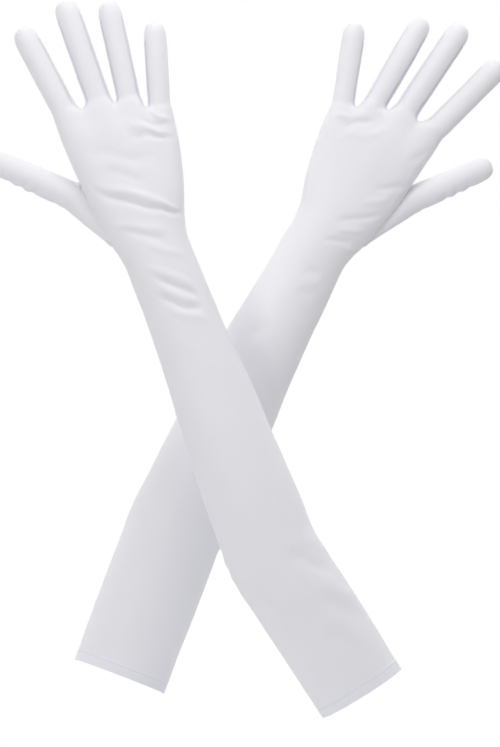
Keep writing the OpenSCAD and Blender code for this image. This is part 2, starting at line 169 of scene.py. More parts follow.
class Glove:
    """Where one glove's skeleton lies, in millimetres, from the joints and the mount of its cuff."""

    def __init__(self, side):
        self.side = side
        self.sign = 1 if side == "left" else -1
        self.cuff = np.array(MOUNTS[side + "_cuff"]["pos_m"]) / MM
        self.elbow = joint_place(side + "_elbow")
        self.wrist = joint_place(side + "_wrist")
        self.upper = unit(self.elbow - self.cuff)
        self.fore = unit(self.wrist - self.elbow)
        self.hand = joint_way(side + "_wrist")
        self.elbow_s = np.linalg.norm(self.elbow - self.cuff)
        self.wrist_s = self.elbow_s + np.linalg.norm(self.wrist - self.elbow)
        self.finger_way = [joint_way(f"{side}_{f}") for f in FINGERS]
        self.finger_root = [
            joint_place(f"{side}_{f}") - w * FINGER_PIVOT for f, w in zip(FINGERS, self.finger_way)
        ]
        self.thumb_way = joint_way(side + "_thumb")
        self.thumb_root = joint_place(side + "_thumb") - self.thumb_way * THUMB_PIVOT

    def across(self, way):
        """Towards the thumb, square to a direction along the arm."""
        return self.sign * np.cross(PALM_WAY, way)

    def arm_frame(self, s):
        """Centre and direction of the sleeve at distance s, turning smoothly at the elbow and the wrist."""
        turn = smooth((s - self.elbow_s + ELBOW_TURN / 2) / ELBOW_TURN)
        way = unit(self.upper * (1 - turn) + self.fore * turn)
        if s < self.elbow_s + ELBOW_TURN:
            return self.elbow + way * (s - self.elbow_s), way
        turn = smooth((s - self.wrist_s + WRIST_TURN / 2) / WRIST_TURN)
        way = unit(self.fore * (1 - turn) + self.hand * turn)
        return self.wrist + way * (s - self.wrist_s), way

    def hand_point(self, p):
        """A point given as up from the wrist, towards the thumb and towards the palm."""
        way = self.arm_frame(self.wrist_s + p[0])[1]
        return self.wrist + way * p[0] + self.across(way) * p[1] + PALM_WAY * p[2]


# ------------------------------------------------------------------ the cage of a glove


class Cage:
    """Corners and four-sided patches. Each patch has its piece's name and its place on the flat cloth."""

    def __init__(self):
        self.points = []
        self.patches = []
        self.labels = []
        self.grain = []

    def ring(self, points):
        first = len(self.points)
        self.points.extend(points)
        return list(range(first, first + len(points)))

    def patch(self, corners, label, grain):
        self.patches.append(tuple(corners))
        self.labels.append(label)
        self.grain.append([(u * COLUMN, v) for u, v in grain])

    def tube(self, low, high, label, columns, v0, v1):
        n = len(low)
        for i in range(n):
            name = label(i) if callable(label) else label
            u = columns[i]
            if name:
                corners = (low[i], low[(i + 1) % n], high[(i + 1) % n], high[i])
                self.patch(corners, name, ((u, v0), (u + 1, v0), (u + 1, v1), (u, v1)))


def sleeve_ring(glove, s):
    centre, way = glove.arm_frame(s)
    w = np.interp(s, SLEEVE_S, SLEEVE_W) * SLEEVE_SWELL * np.interp(s, *FULLNESS[glove.side])
    t = np.interp(s, SLEEVE_S, SLEEVE_T) * SLEEVE_SWELL
    across = glove.across(way)
    centre = centre + across * np.interp(s, *DRIFT[glove.side])
    tilt = way * HEM_TILT[glove.side] * (1 - smooth(s / HEM_TILT_END))
    angles = [-math.tau * i / AROUND for i in range(AROUND)]
    return [
        centre + across * w * math.cos(a) + PALM_WAY * t * math.sin(a) + tilt * max(0.0, -math.sin(a))
        for a in angles
    ]


def knuckle_station(m):
    """One column's place on the knuckle line: up, across, and its share of the thickness."""
    if m == 0:
        return ROOT_UP[0] - EDGE_DROP, ROOT_ACROSS[0] + FINGER_W[0] + EDGE_OUT[0], 0.0
    if m == 1:
        return ROOT_UP[0], ROOT_ACROSS[0] + FINGER_W[0] * SHOULDER_W, SHOULDER_T
    if m == HALF - 1:
        return ROOT_UP[3], ROOT_ACROSS[3] - FINGER_W[3] * SHOULDER_W, SHOULDER_T
    if m == HALF:
        return ROOT_UP[3] - EDGE_DROP, ROOT_ACROSS[3] - FINGER_W[3] - EDGE_OUT[1], 0.0
    k, r = divmod(m - 1, 4)
    if r == 0:
        up = (ROOT_UP[k - 1] + ROOT_UP[k]) / 2 - WEB_DROP
        return up, (ROOT_ACROSS[k - 1] + ROOT_ACROSS[k]) / 2, WEB_T / KNUCKLE_T
    return ROOT_UP[k], ROOT_ACROSS[k] + FINGER_W[k] * (1 - r / 2), 1.0 if r == 2 else FLANK_T


def palm_point(glove, i, f):
    """A point of the hand's cage: column i, at the share f of the way from the wrist to the knuckles."""
    back = i <= HALF
    m = i if back else AROUND - i
    up, side, thick = knuckle_station(m)
    a = -math.tau * i / AROUND
    fullness = FULLNESS[glove.side][1][-1]
    wrist = np.array([0, SLEEVE_W[-1] * fullness * math.cos(a), SLEEVE_T[-1] * math.sin(a)]) * SLEEVE_SWELL
    # The dips between the knuckles die away a little below them, and hardly show on the back of the hand.
    even = EDGE_EVEN[min(m, HALF - m, 4)]
    if back:
        thick += (even - thick) * BACK_EVEN
    dip = smooth((f - DIP_FROM) / DIP_SPAN)
    depth = (-1 if back else 1) * KNUCKLE_T * (even * (1 - dip) + thick * dip * KNUCKLE_SLIM)
    p = wrist + (np.array([up, side, depth]) - wrist) * np.array([f, f ** PALM_FLARE, f])
    far = math.cos(a) < 0
    p[1] += math.cos(a) * PALM_BULGE[far] * math.sin(math.pi * f ** BULGE_RISE[far])
    if far:
        p[1] -= math.cos(a) * HEEL_DIP[glove.side] * math.exp(-((f - HEEL_AT) / HEEL_SPAN) ** 2)
    return p


STRIP_ANGLE = (37, 21)  # half the angle of a side strip at a finger's root, and how much less at its tip


def finger_angles(share):
    """Column angles of a finger. The side strips, either side of columns 0 and 6, narrow towards the tip."""
    g = math.radians(STRIP_ANGLE[0] - STRIP_ANGLE[1] * share)
    e = (math.pi / 2 + g) / 2
    half = [0, -g, -e, -math.pi / 2, e - math.pi, g - math.pi]
    return half + [-math.pi] + [-math.tau - a for a in half[:0:-1]]


def digit_ring(glove, start, way, s, length, w, t):
    """A ring of a finger or thumb, s from its root."""
    across = glove.across(way)
    centre = start + way * s
    return [
        centre + across * w * SWELL * math.cos(a) + PALM_WAY * t * SWELL * math.sin(a)
        for a in finger_angles(min(1, s / length))
    ]


# Rings of a rounded tip: distance back from the end and share of the width there
TIP = [(12.0, 1.0), (8.4, 0.975), (5.2, 0.89), (2.7, 0.745), (1.1, 0.54)]
TIP_CORE = 0.26         # width of the patch at the very end, as a share
TIP_BACK = 0.1          # and how far back it lies
TIP_STEP = 5.2          # about the distance between the rings below the tip
TIP_GUSSET = 9.0        # the side strips end this far from a fingertip
FRONT = 2               # a column of a finger that is never a side strip


def digit(cage, glove, low, start, way, length, rows, widths, columns, v, label):
    """The tube of a finger or thumb, from the ring low to its closed end."""
    stops = [(s, 1.0) for s in rows]
    gap = length - TIP[0][0] - rows[-1]
    count = max(1, round(gap / TIP_STEP))
    stops += [(rows[-1] + gap * (n + 1) / count, 1.0) for n in range(count - 1)]
    stops += [(length - back, share) for back, share in TIP]
    below, s_below = low, 0
    for s, share in stops:
        w = (widths[0] + (widths[1] - widths[0]) * s / length) * share
        ring = cage.ring(digit_ring(glove, start, way, s, length, w, w * FINGER_T))
        cage.tube(below, ring, lambda i: label(i, s), columns, v + s_below, v + s)
        below, s_below = ring, s
    # A three by three grid closes the end, so that no patches meet in a fan.
    end, name = v + length, label(FRONT, length)
    w = widths[1] * TIP_CORE * SWELL
    core = cage.ring([
        start + way * (length - TIP_BACK) + glove.across(way) * w * x + PALM_WAY * w * y
        for x, y in ((1, 0), (0, -1), (-1, 0), (0, 1))
    ])
    for q in range(4):
        m = 3 * q
        u = columns[m]
        inner, following = core[q], core[(q + 1) % 4]
        corner = (below[(m - 1) % FINGER_AROUND], below[m], below[m + 1], inner)
        cage.patch(corner, name, ((u - 1, end - 1), (u, end - 1), (u + 1, end - 1), (u, end)))
        side = (below[m + 1], below[m + 2], following, inner)
        cage.patch(side, name, ((u + 1, end - 1), (u + 2, end - 1), (u + 2, end), (u + 1, end)))
    u = columns[2]
    cage.patch(core, name, ((u, end), (u + 1, end), (u + 1, end + 1), (u, end + 1)))


def is_strip(k, i):
    """The columns of a finger that are side strips."""
    return (k > 0 and i in (11, 0)) or (k < 3 and i in (5, 6))


def finger_label(k, i, s):
    """The piece of a finger's patch whose upper edge is s from the root."""
    part = "lower" if s <= FINGER_SPLIT else "tip"
    strip = is_strip(k, i) and s <= FINGER_LEN[k] - TIP_GUSSET
    if strip and s <= FINGER_ROWS[0]:
        return "web_gussets"
    return f"{FINGERS[k]}_{part}" + ("_gusset" if strip else "")


def thumb_label(i, s):
    return "thumb_base" if s <= THUMB_SPLIT else "thumb_tip"


def build_cage(glove):
    cage = Cage()
    columns = list(range(AROUND))
    below, s_below = None, 0
    for s in SLEEVE_ROWS:
        ring = cage.ring(sleeve_ring(glove, s))
        if below:
            label = "hem_band" if s <= HEM_HEIGHT else "sleeve" if s <= HAND_FROM else "hand"
            cage.tube(below, ring, label, columns, s_below, s)
        below, s_below = ring, s
    palm = [below]
    hole = range(THUMB_HOLE[0] + 1, THUMB_HOLE[-1] + 1)
    for j, f in enumerate(PALM_ROWS):
        ring = cage.ring([glove.hand_point(palm_point(glove, i, f)) for i in range(AROUND)])
        v = glove.wrist_s + ROOT_UP[1] * f
        closed = THUMB_COLUMN if j in hole else AROUND
        cage.tube(palm[-1], ring, lambda i: "hand" if i < closed else None, columns, s_below, v)
        palm.append(ring)
        s_below = v
    knuckles = palm[-1]
    webs = cage.ring([
        glove.hand_point([
            (ROOT_UP[k] + ROOT_UP[k + 1]) / 2 + WEB_RISE - WEB_DROP,
            (ROOT_ACROSS[k] + ROOT_ACROSS[k + 1]) / 2, 0,
        ]) for k in range(3)
    ])
    top = glove.wrist_s + ROOT_UP[1]
    for k, name in enumerate(FINGERS):
        loop = [knuckles[0] if k == 0 else webs[k - 1]]
        loop += [knuckles[4 * k + m] for m in range(1, 6)]
        loop += [knuckles[HALF] if k == 3 else webs[k]]
        loop += [knuckles[AROUND - 4 * k - FINGER_AROUND + m] for m in range(7, 12)]
        starts = [4 * k + m if m < 6 else 24 - 4 * k + m for m in range(12)]
        share, aside = FINGER_FIT[glove.side][k]
        widths = (FINGER_W[k] * share, FINGER_W[k] * share * FINGER_TAPER)
        way = glove.finger_way[k]
        root = glove.finger_root[k] + glove.across(way) * aside
        digit(cage, glove, loop, root, way, FINGER_LEN[k], FINGER_ROWS, widths,
              starts, top, lambda i, s: finger_label(k, i, s))
    r = [palm[j + 1] for j in THUMB_HOLE]
    c = THUMB_COLUMN
    mouth = [
        r[0][c + 2], r[0][0], r[1][0], r[2][0], r[3][0], r[3][c + 2],
        r[3][c + 1], r[3][c], r[2][c], r[1][c], r[0][c], r[0][c + 1],
    ]
    share, aside = THUMB_FIT
    width, across = THUMB_W * share, glove.across(glove.thumb_way)
    root = glove.thumb_root + across * aside
    w = width * THUMB_ROOT_W
    first = digit_ring(glove, root, glove.thumb_way, THUMB_ROWS[0], THUMB_LEN, w, w * FINGER_T)
    below, s_below, v = mouth, 0, THUMB_START[1]
    columns = [THUMB_COLUMNS + i for i in range(FINGER_AROUND)]
    for share in THUMB_JOIN:
        web = [across * THUMB_WEB * share * min(0, math.cos(a)) for a in finger_angles(0)]
        ring = cage.ring([
            np.array(cage.points[a]) * (1 - share) + b * share + c for a, b, c in zip(mouth, first, web)
        ])
        s = THUMB_ROWS[0] * share
        cage.tube(below, ring, "thumb_base", columns, v + s_below, v + s)
        below, s_below = ring, s
    digit(cage, glove, below, root, glove.thumb_way, THUMB_LEN, THUMB_ROWS,
          (width, width * THUMB_TIP), columns, v, thumb_label)
    return cage


# ------------------------------------------------------------------ the smoothed cloth


class Cloth:
    """The smoothed surface of a whole glove, as arrays: points, quads, labels and the grain's coordinates."""

    def __init__(self, glove, cage, levels):
        self.glove = glove
        patches, grain = cage.patches, cage.grain
        if glove.side == "left":
            patches = [p[::-1] for p in patches]
            grain = [g[::-1] for g in grain]
        self.names = sorted(set(cage.labels))
        mesh = bpy.data.meshes.new("cage")
        mesh.from_pydata([tuple(p) for p in cage.points], [], patches)
        layer = mesh.uv_layers.new(name="grain")
        layer.data.foreach_set("uv", np.array(grain, np.float32).ravel())
        for name in self.names:
            mesh.materials.append(None)
        mesh.polygons.foreach_set("material_index", [self.names.index(x) for x in cage.labels])
        obj = bpy.data.objects.new("cage", mesh)
        bpy.context.scene.collection.objects.link(obj)
        subdivision = obj.modifiers.new("smooth", "SUBSURF")
        subdivision.levels = levels
        subdivision.uv_smooth = "NONE"
        subdivision.use_limit_surface = False
        done = obj.evaluated_get(bpy.context.evaluated_depsgraph_get()).to_mesh()
        n, f = len(done.vertices), len(done.polygons)
        self.points = np.empty(n * 3)
        done.vertices.foreach_get("co", self.points)
        self.points = self.points.reshape(n, 3)
        corners = np.empty(f * 4, np.int32)
        done.loops.foreach_get("vertex_index", corners)
        self.quads = corners.reshape(f, 4)
        self.label = np.empty(f, np.int32)
        done.polygons.foreach_get("material_index", self.label)
        uv = np.empty(f * 8, np.float32)
        done.uv_layers["grain"].data.foreach_get("uv", uv)
        self.uv = uv.reshape(f, 4, 2).astype(float)
        bpy.data.objects.remove(obj)
        bpy.data.meshes.remove(mesh)
        self.place = np.zeros((n, 2))
        self.place[self.quads.ravel()] = self.uv.reshape(-1, 2)
        self.find_normals()

    def find_normals(self):
        p = self.points[self.quads]
        across = np.cross(p[:, 2] - p[:, 0], p[:, 3] - p[:, 1])
        self.normals = np.zeros_like(self.points)
        for c in range(4):
            np.add.at(self.normals, self.quads[:, c], across)
        self.normals /= np.maximum(np.linalg.norm(self.normals, axis=1), 1e-9)[:, None]

    def push(self, amount):
        """Moves every point out along its normal by its own amount."""
        self.points = self.points + self.normals * amount[:, None]
        self.find_normals()

    def edges(self):
        """Every edge once, with the two quads that it joins, or -1 where it is free."""
        starts = self.quads.ravel()
        ends = np.roll(self.quads, -1, axis=1).ravel()
        quad = np.repeat(np.arange(len(self.quads)), 4)
        key = np.minimum(starts, ends) * len(self.points) + np.maximum(starts, ends)
        order = np.argsort(key, kind="stable")
        key, quad = key[order], quad[order]
        found, first, uses = np.unique(key, return_index=True, return_counts=True)
        second = np.where(uses > 1, quad[np.minimum(first + 1, len(quad) - 1)], -1)
        ends = np.stack([found // len(self.points), found % len(self.points)], axis=1)
        return ends, np.stack([quad[first], second], axis=1)


# ------------------------------------------------------------------ folds and seams

PANELS = {"web_gussets": 1, "thumb_base": 2, "thumb_tip": 2}


def panel_of(name):
    """Which cut panel a piece belongs to: the main one, the side strips or the thumb."""
    return 1 if name.endswith("gusset") else PANELS.get(name, 0)


def seam_edges(cloth):
    """The edges where two cut panels are sewn together."""
    ends, quads = cloth.edges()
    panel = np.array([panel_of(name) for name in cloth.names])[cloth.label]
    inner = quads[:, 1] >= 0
    sewn = np.zeros(len(ends), bool)
    sewn[inner] = panel[quads[inner, 0]] != panel[quads[inner, 1]]
    return ends[sewn]


def chains(edges):
    """Edges joined end to end into lines of points. A closed line repeats its first point."""
    near = {}
    for a, b in edges:
        near.setdefault(int(a), []).append(int(b))
        near.setdefault(int(b), []).append(int(a))
    unused = {tuple(sorted((int(a), int(b)))) for a, b in edges}
    lines = []
    ends = sorted(p for p in near if len(near[p]) != 2)
    for start in ends + sorted(near):
        for step in sorted(near[start]):
            if tuple(sorted((start, step))) not in unused:
                continue
            line = [start]
            here, there = start, step
            while tuple(sorted((here, there))) in unused:
                unused.discard(tuple(sorted((here, there))))
                line.append(there)
                if len(near[there]) != 2:
                    break
                here, there = there, next((q for q in near[there] if q != here), here)
            lines.append(line)
    return lines


# A fold's height, negative for a hollow, its half width, and the points that it runs through: column of
# the pattern and distance from the cuff, in turn. Columns run from the thumb's side over the back of the
# hand to the far side, 18, and round the palm to 36.
FOLDS = {
    "right": (
        (1.3, 2.0, (13.3, 449, 14.7, 442, 17.0, 434)),
        (-1.0, 1.7, (11.2, 432, 13.8, 436, 17.0, 436)),
        (1.2, 2.0, (9.3, 436, 11.5, 428, 13.5, 430, 17.0, 423)),
        (-1.2, 1.8, (9.0, 428, 11.2, 421, 14.0, 426, 17.0, 421)),
        (-0.8, 3.7, (3.2, 423, 6.2, 414, 9.0, 407, 13.3, 405)),
        (-0.7, 3.2, (4.5, 405, 6.2, 400, 9.0, 392, 11.0, 388)),
        (1.7, 2.6, (3.5, 396, 5.7, 388, 9.0, 380, 12.0, 370, 16.2, 363)),
        (-2.0, 2.0, (2.2, 396, 4.7, 386, 7.5, 376, 11.2, 367, 18.0, 359)),
        (0.8, 2.9, (2.7, 369, 7.7, 357, 13.0, 349)),
        (-0.9, 2.4, (4.0, 363, 6.8, 355, 8.8, 349, 11.5, 343)),
        (0.8, 2.8, (7.0, 347, 10.3, 337, 14.7, 326)),
        (1.0, 2.6, (5.7, 332, 9.5, 320, 13.8, 303)),
        (-1.9, 1.8, (6.5, 324, 9.0, 314, 11.2, 306, 14.0, 296)),
        (1.4, 2.0, (6.8, 316, 9.8, 303, 12.7, 294)),
        (-1.8, 1.8, (5.5, 312, 8.0, 303, 10.2, 294, 13.8, 290)),
        (1.0, 2.8, (6.5, 301, 9.5, 290, 14.0, 280)),
        (-1.3, 5.8, (11.2, 115, 12.8, 95, 15.5, 81)),
        (1.1, 6.5, (13.5, 121, 15.7, 105, 18.0, 93)),
        (1.1, 7.2, (12.0, 83, 14.8, 65, 18.0, 56)),
        (-0.9, 7.2, (10.7, 79, 13.5, 53, 15.5, 40)),
        (-0.7, 7.2, (9.0, 53, 11.5, 30, 13.5, 24)),
        (0.7, 8.7, (4.7, 121, 5.5, 97, 7.7, 69)),
    ),
    "left": (
        (1.1, 2.0, (16.5, 434, 14.3, 442, 12.2, 438, 10.5, 438)),
        (-1.2, 1.8, (14.5, 436, 11.7, 432, 9.5, 440)),
        (0.8, 3.1, (13.8, 423, 10.7, 423, 8.5, 432, 8.0, 438)),
        (-0.9, 1.8, (10.7, 449, 9.0, 449)),
        (-0.8, 3.1, (4.2, 419, 2.7, 426, 1.5, 436)),
        (-1.1, 2.2, (6.0, 390, 3.5, 400, 1.0, 407)),
        (0.9, 2.6, (6.5, 378, 2.7, 392)),
        (-1.1, 2.2, (9.0, 355, 5.2, 369, 1.8, 382)),
        (-1.0, 2.0, (9.0, 341, 3.7, 352)),
        (0.9, 2.2, (5.2, 344, -0.3, 349)),
        (1.1, 2.0, (7.8, 352, 3.2, 363)),
        (-0.9, 3.3, (9.2, 316, 5.7, 320)),
        (-0.8, 3.3, (8.8, 301, 5.2, 303)),
        (0.7, 3.7, (9.0, 308, 5.2, 312)),
        (-0.9, 5.5, (11.5, 256, 9.7, 273)),
    ),
}
# Hollows across the underside of a thumb: columns of the thumb, and distances from its root
THUMB_FOLDS = (
    (-0.6, 2.3, (-2.6, 47, 0, 49, 2.6, 46)),
    (0.4, 2.4, (-2.6, 51, 0, 53, 2.6, 50)),
    (-0.7, 2.2, (-2.6, 57, 0, 58, 2.6, 55)),
    (0.4, 2.4, (-2.2, 61, 0, 62, 2.2, 60)),
    (-0.5, 2.2, (-2.6, 66, 0, 67, 2.6, 65)),
    (-0.5, 2.4, (-3, 28, -1, 31, 1, 30)),
)
# Creases that both gloves have: across the palm, round the thumb, at the wrist and the fingers, and at
# the crook of the elbow
CREASES = (
    (-0.9, 2.6, (33.5, 437, 30.5, 425, 28.6, 405, 27.6, 380, 27.4, 352)),
    (0.5, 3.0, (32, 426, 30, 405, 29.2, 380, 29, 356)),
    (-0.7, 2.2, (32, 436, 28, 424, 24, 410, 20.5, 402)),
    (-0.7, 2.2, (29, 440, 25, 431, 21, 421, 18.5, 419)),
    (0.4, 2.4, (29, 434, 25, 425, 21, 414)),
    (-0.8, 2.0, (31.5, 329, 28, 333, 24, 332, 21, 328)),
    (0.6, 2.2, (31, 335, 27, 338, 22, 335)),
    (-0.6, 2.0, (30, 340, 27, 343, 23, 341)),
    (-0.4, 1.5, (19, 458, 36, 458)),
    (-0.4, 1.5, (19, 479, 36, 479)),
    (-0.35, 3.2, (-6.5, 94, -3, 104, 0, 107, 3, 104, 6.5, 94)),
    (0.3, 3.4, (-6, 102, -3, 110, 0, 112, 3, 110, 6, 102)),
    (-0.4, 2.8, (-5, 113, 0, 117, 5, 113)),
    (0.3, 3.2, (-6, 127, -3, 123, 0, 122, 3, 123, 6, 127)),
    (-0.35, 3.2, (-7, 138, -3, 130, 0, 128, 3, 130, 7, 138)),
    (-0.5, 5.0, (22, 168, 26, 185, 30, 194)),
    (-0.5, 6.0, (31, 232, 27, 252, 24, 262)),
    (0.5, 6.0, (32, 60, 27, 72, 23, 78)),
    (-0.5, 5.0, (31, 46, 27, 56, 24, 60)),
)
FOLD_STEP = 1.2         # a fold is followed in steps of about this length
FOLD_FADE = 0.3         # and dies away over this share of its length at either end
FOLD_REACH = 3          # beyond this many half widths it is too slight to count
HEM_STILL = 0.4         # the doubled hem takes this share of the folds
WAVES = ((38, 0.6), (14, 0.2), (7, 0.08))       # the sizes and heights of the cloth's unevenness
STILL = 0.8             # a finger's cloth is stretched, and holds this share of it


def fold_line(stops):
    """Points and distances along a smooth line through the stops of a fold, on the flat pattern."""
    stops = np.array(stops, float).reshape(-1, 2) * (COLUMN, 1)
    stops = np.concatenate([[2 * stops[0] - stops[1]], stops, [2 * stops[-1] - stops[-2]]])
    points = []
    for a, b, c, d in zip(stops, stops[1:], stops[2:], stops[3:]):
        steps = max(2, int(np.linalg.norm(c - b) / FOLD_STEP))
        for t in np.arange(steps) / steps:
            points.append(0.5 * (2 * b + (c - a) * t + (2 * a - 5 * b + 4 * c - d) * t * t
                                 + (3 * b - a - 3 * c + d) * t ** 3))
    points = np.array(points + [stops[-2]])
    along = np.concatenate([[0], np.cumsum(np.linalg.norm(np.diff(points, axis=0), axis=1))])
    return points, along / along[-1]


def fold_field(cloth):
    """How far each point stands off the smooth form, in millimetres."""
    amount = np.zeros(len(cloth.points))
    for size, height in WAVES:
        amount += height * np.array([noise.noise(Vector(p / size)) for p in cloth.points])
    amount[cloth.place[:, 1] > cloth.glove.wrist_s + ROOT_UP[1]] *= STILL
    on_thumb = cloth.place[:, 0] > THUMB_COLUMNS * COLUMN - 1
    folds = [(f, False) for f in FOLDS[cloth.glove.side] + CREASES] + [(f, True) for f in THUMB_FOLDS]
    for (height, width, stops), thumb in folds:
        line, share = fold_line(stops)
        low, high = line.min(0) - FOLD_REACH * width, line.max(0) + FOLD_REACH * width
        turn = (FINGER_AROUND if thumb else AROUND) * COLUMN
        u, v = (cloth.place - np.array(THUMB_START if thumb else (0, 0))).T
        u = np.where(on_thumb == thumb, (u - low[0]) % turn + low[0], np.inf)
        near = np.nonzero((u < high[0]) & (v > low[1]) & (v < high[1]))[0]
        away = np.hypot(u[near, None] - line[:, 0], v[near, None] - line[:, 1])
        best = away.argmin(1)
        fade = smooth(np.minimum(share[best], 1 - share[best]) / FOLD_FADE)
        amount[near] += height * fade * np.exp(-(away.min(1) / width) ** 2)
    amount[cloth.place[:, 1] < HEM_HEIGHT] *= HEM_STILL
    return amount


SEAM_DEPTH = 0.5
THUMB_SEAM_DEPTH = 0.45
SEAM_SWELL = 0.12       # the cloth stands this proud beside a seam
THUMB_SEAM_SWELL = 0.4
SIDE_SEAM_DEPTH = 0.35
HEM_PINCH = 0.3


def seam_field(cloth, seams):
    """Seams are drawn in, and the cloth beside them stands proud."""
    ends, _ = cloth.edges()
    thumb = np.zeros(len(cloth.points), bool)
    thumb[cloth.quads[cloth.label == cloth.names.index("thumb_base")].ravel()] = True
    on = np.zeros(len(cloth.points), bool)
    on[seams.ravel()] = True
    beside = np.zeros(len(cloth.points), bool)
    beside_thumb = np.zeros(len(cloth.points), bool)
    for a, b in ((0, 1), (1, 0)):
        start = ends[:, a]
        beside[ends[on[start], b]] = True
        beside_thumb[ends[(on & thumb)[start], b]] = True
    amount = np.where(beside_thumb, THUMB_SEAM_SWELL, np.where(beside, SEAM_SWELL, 0.0))
    amount[on] = -SEAM_DEPTH
    amount[on & thumb] = -THUMB_SEAM_DEPTH
    side = np.abs(cloth.place[:, 0] - HALF * COLUMN) < ON_LINE
    amount[side] -= SIDE_SEAM_DEPTH
    amount[np.abs(cloth.place[:, 1] - HEM_STITCH) < ON_LINE] -= HEM_PINCH
    return amount


# ------------------------------------------------------------------ pieces


def add_mesh(name, points, faces, material, uv=None, normals=None):
    """A piece of the model. Points are in millimetres."""
    mesh = bpy.data.meshes.new(name)
    mesh.from_pydata((np.asarray(points) * MM).tolist(), [], [list(map(int, f)) for f in faces])
    if uv is not None:
        layer = mesh.uv_layers.new(name="grain")
        layer.data.foreach_set("uv", np.asarray(uv, np.float32).ravel())
    mesh.polygons.foreach_set("use_smooth", [True] * len(mesh.polygons))
    if normals is not None:
        mesh.normals_split_custom_set_from_vertices(np.asarray(normals).tolist())
    mesh.materials.append(material)
    obj = bpy.data.objects.new(name, mesh)
    bpy.context.scene.collection.objects.link(obj)
    return obj


def cloth_piece(cloth, name, labels, thickness, material):
    """Some of a glove's cloth with its inner face, and a rim along each free edge."""
    wanted = [cloth.names.index(x) for x in labels]
    chosen = np.isin(cloth.label, wanted)
    quads, uv = cloth.quads[chosen], cloth.uv[chosen]
    used, flat = np.unique(quads, return_inverse=True)
    quads = flat.reshape(quads.shape)
    n = len(used)
    outer, out = cloth.points[used], cloth.normals[used]
    points = np.concatenate([outer, outer - out * thickness])
    normals = np.concatenate([out, -out])
    starts, stops = quads.ravel(), np.roll(quads, -1, axis=1).ravel()
    there = set(zip(starts.tolist(), stops.tolist()))
    uv_start, uv_stop = uv.reshape(-1, 2), np.roll(uv, -1, axis=1).reshape(-1, 2)
    rims, rim_uv = [], []
    for a, b, ua, ub in zip(starts.tolist(), stops.tolist(), uv_start, uv_stop):
        if (b, a) not in there:
            rims.append((b, a, a + n, b + n))
            rim_uv.append((ub, ua, ua, ub))
    faces = quads.tolist() + (quads[:, ::-1] + n).tolist() + rims
    grain = np.concatenate([uv, uv[:, ::-1], np.array(rim_uv).reshape(-1, 4, 2)])
    side = cloth.glove.side
    return add_mesh(f"{side}_{name}_cloth", points, faces, material, grain, normals)


STITCH_SIDES = 6
STITCH_RINGS = ((-0.5, 0.45), (-0.3, 1.0), (0.3, 1.0), (0.5, 0.45))     # place and width along a stitch


def stitch_row(cloth, line, pitch, length, radius, lift):
    """The points and faces of a row of stitches along a line of the cloth's points."""
    places, outs = cloth.points[line], cloth.normals[line]
    along = np.concatenate([[0], np.cumsum(np.linalg.norm(np.diff(places, axis=0), axis=1))])
    count = int(along[-1] / pitch)
    middles = (np.arange(count) + 0.5) * along[-1] / count

    def at(values, s):
        return np.stack([np.interp(s, along, values[:, c]) for c in range(3)], axis=1)

    out = at(outs, middles)
    out /= np.linalg.norm(out, axis=1)[:, None]
    way = at(places, middles + length / 2) - at(places, middles - length / 2)
    way /= np.linalg.norm(way, axis=1)[:, None]
    side = np.cross(out, way)
    side /= np.linalg.norm(side, axis=1)[:, None]
    centre = at(places, middles) + out * lift
    turns = math.tau * np.arange(STITCH_SIDES) / STITCH_SIDES
    points, faces = [], []
    for n in range(count):
        first = len(points)
        for x, share in STITCH_RINGS:
            for a in turns:
                points.append(centre[n] + way[n] * x * length
                              + (side[n] * math.cos(a) + out[n] * math.sin(a)) * radius * share)
        starts = [first + r * STITCH_SIDES for r in range(len(STITCH_RINGS))]
        rings = [list(range(start, start + STITCH_SIDES)) for start in starts]
        for low, high in zip(rings, rings[1:]):
            faces += [(low[i - 1], low[i], high[i], high[i - 1]) for i in range(STITCH_SIDES)]
        faces += [rings[0][::-1], rings[-1]]
    return points, faces


def stitches(cloth, name, lines, size, material):
    """Rows of stitches, as one piece. A size is a pitch, a length, a radius and a lift off the cloth."""
    points, faces = [], []
    for line in lines:
        more, rows = stitch_row(cloth, np.array(line), *size)
        faces += [tuple(i + len(points) for i in row) for row in rows]
        points += more
    return add_mesh(f"{cloth.glove.side}_{name}", points, faces, material)


def edges_between(cloth, first, second):
    """The edges where two pieces meet."""
    ends, quads = cloth.edges()
    pair = sorted((cloth.names.index(first), cloth.names.index(second)))
    kinds = np.sort(cloth.label[quads], axis=1)
    return ends[(quads[:, 1] >= 0) & (kinds[:, 0] == pair[0]) & (kinds[:, 1] == pair[1])]


# Pitch, length, radius and lift of each kind of stitch
HEM_THREAD = (2.6, 1.9, 0.17, 0.05)
THUMB_THREAD = (2.2, 1.7, 0.2, 0.1)
FINGER_THREAD = (1.9, 1.6, 0.2, 0.02)
OVERLOCK_HALF = 2.0
OVERLOCK_WAVE = 0.18    # its edge goes in and out by this much from stitch to stitch
OVERLOCK_T = 0.7
OVERLOCK_THIN = 0.8     # and every other stitch is this share as thick
OVERLOCK_GAP = 0.12     # it lies this far inside the cloth
OVERLOCK_SPAN = (9.0, 318.0)
OVERLOCK_PITCH = 2.2
OVERLOCK_RING = ((-1, 0.15), (-0.5, 0), (0.5, 0), (1, 0.15), (1, 0.8), (0.5, 1), (-0.5, 1), (-1, 0.8))


